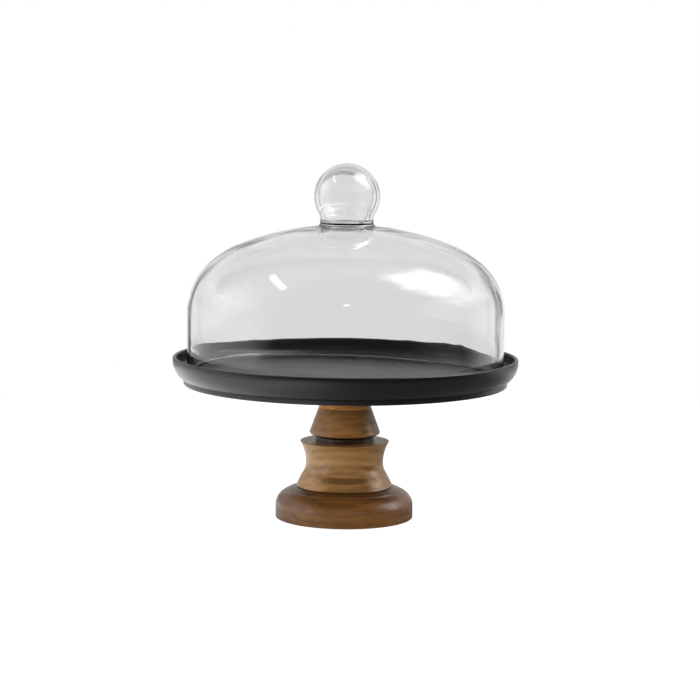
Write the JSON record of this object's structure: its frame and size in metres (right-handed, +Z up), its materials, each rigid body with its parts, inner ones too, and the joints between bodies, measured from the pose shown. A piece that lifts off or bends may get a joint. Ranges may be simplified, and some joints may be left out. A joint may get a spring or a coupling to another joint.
{
  "type": "cheese dome",
  "caption": "Footed cheese dome: a clear glass bell with a hollow ball knob stands on a round black tray carried by a turned wooden foot.",
  "frame": {"origin": "centre of the foot at table level, on the axis of the turned foot, the tray and the bell", "axes": "+Z up along the common axis, from the foot to the knob; +X and +Y are any two level directions at right angles"},
  "size_m": [0.2992, 0.2992, 0.3077],
  "materials": {
    "clear_glass": "clear hand-blown glass, polished",
    "black_glaze": "satin black glaze",
    "cone_wood": "satin varnished dark brown hardwood",
    "waist_wood": "satin varnished mid brown hardwood",
    "base_wood": "satin varnished reddish brown hardwood",
    "silicone": "matt black silicone",
    "brass": "machined",
    "zinc_steel": "bright zinc plated",
    "felt": "pressed wool felt"
  },
  "bodies": {
    "stand": {"tray": "black_glaze", "stem_cone": "cone_wood", "stem_waist": "waist_wood", "foot_base": "base_wood", "cushion_washer": "silicone", "tray_insert": "brass", "tie_bolt": "zinc_steel", "flat_washer": "zinc_steel", "lock_washer": "zinc_steel", "felt_ring": "felt"},
    "dome": {"glass_dome": "clear_glass", "glass_knob": "clear_glass"}
  },
  "joints": [
    {"name": "dome_lift", "type": "slide", "parent": "stand", "child": "dome", "axis": [0, 0, 1], "range_m": [0, 0.2]}
  ]
}
